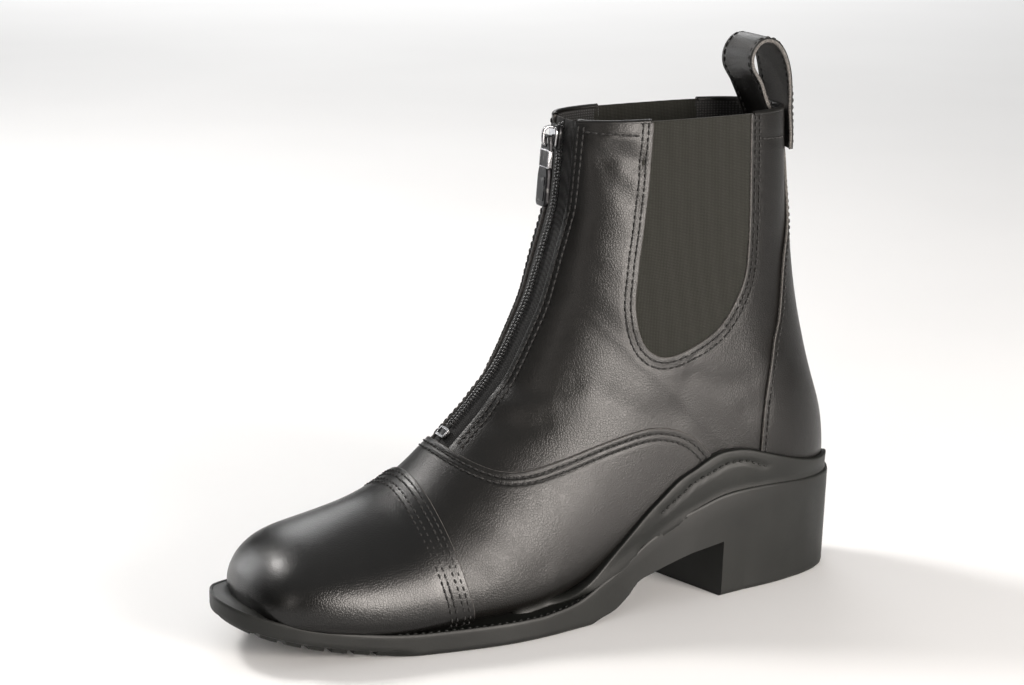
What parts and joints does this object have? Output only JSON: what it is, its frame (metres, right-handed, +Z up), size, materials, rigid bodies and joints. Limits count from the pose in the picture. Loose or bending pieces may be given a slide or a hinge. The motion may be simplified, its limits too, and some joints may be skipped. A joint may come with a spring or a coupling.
{
  "type": "jodhpur boot",
  "caption": "Leather ankle boot with a front zip, elastic side gores, toe cap, rear pull loop and moulded rubber sole; left foot.",
  "frame": {"origin": "on the floor, under the middle of the sole's length and width", "axes": "+Z up; toe towards -Y, heel towards +Y; outer (lateral) side of the left boot towards +X"},
  "size_m": [0.0969, 0.2873, 0.233],
  "materials": {
    "sole_rubber": "matte moulded rubber, near black",
    "upper_leather": "semi-gloss black leather, fine grain",
    "cap_leather": "polished black leather",
    "elastic": "ribbed elastic webbing, dark olive grey",
    "lining": "black textile",
    "tape": "black woven zip tape and coil",
    "zip_metal": "black lacquered metal with bright worn edges"
  },
  "bodies": {
    "boot": {"sole": "sole_rubber", "upper": "upper_leather", "toe_cap": "cap_leather", "backstay": "upper_leather", "gore_outer": "elastic", "gore_inner": "elastic", "insole": "lining", "zip_tape": "tape", "zip_chain": "tape", "zip_stop": "zip_metal", "zip_slider": "zip_metal", "pull_loop": "upper_leather"},
    "pull": {"zip_pull": "zip_metal"}
  },
  "joints": [
    {"name": "pull_swing", "type": "hinge", "parent": "boot", "child": "pull", "pos_m": [-0.00266, 0.00832, 0.19681], "axis": [-1, 0, 0], "range_deg": [0, 150]}
  ]
}
